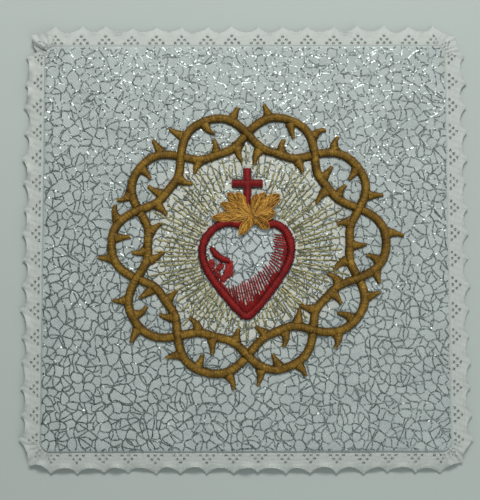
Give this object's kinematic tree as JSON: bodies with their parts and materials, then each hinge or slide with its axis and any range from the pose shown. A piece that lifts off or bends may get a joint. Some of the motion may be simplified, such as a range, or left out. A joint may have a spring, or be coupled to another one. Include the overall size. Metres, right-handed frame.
{
  "type": "chalice pall",
  "caption": "Stiff square chalice pall in silver-figured brocade, with a scalloped cotton lace edging and a satin-stitched crown of thorns and heart.",
  "frame": {"origin": "middle of the underside, on the surface that the pall lies on", "axes": "+Z out of the embroidered face, +Y towards the top of the emblem, +X to its right"},
  "size_m": [0.1774, 0.1774, 0.0055],
  "materials": {
    "face_cloth": "pale silver-grey brocade with a silver metallic figure",
    "lace": "off-white matt cotton lace",
    "bronze_thread": "bronze-brown satin stitch with a soft sheen",
    "red_thread": "deep red satin stitch with a soft sheen",
    "gold_thread": "golden satin stitch with a soft sheen"
  },
  "bodies": {
    "root": {"panel": "face_cloth", "lace_edging": "lace", "crown_of_thorns": "bronze_thread", "heart": "red_thread", "wound": "red_thread", "cross": "red_thread", "flames": "gold_thread"}
  },
  "joints": []
}
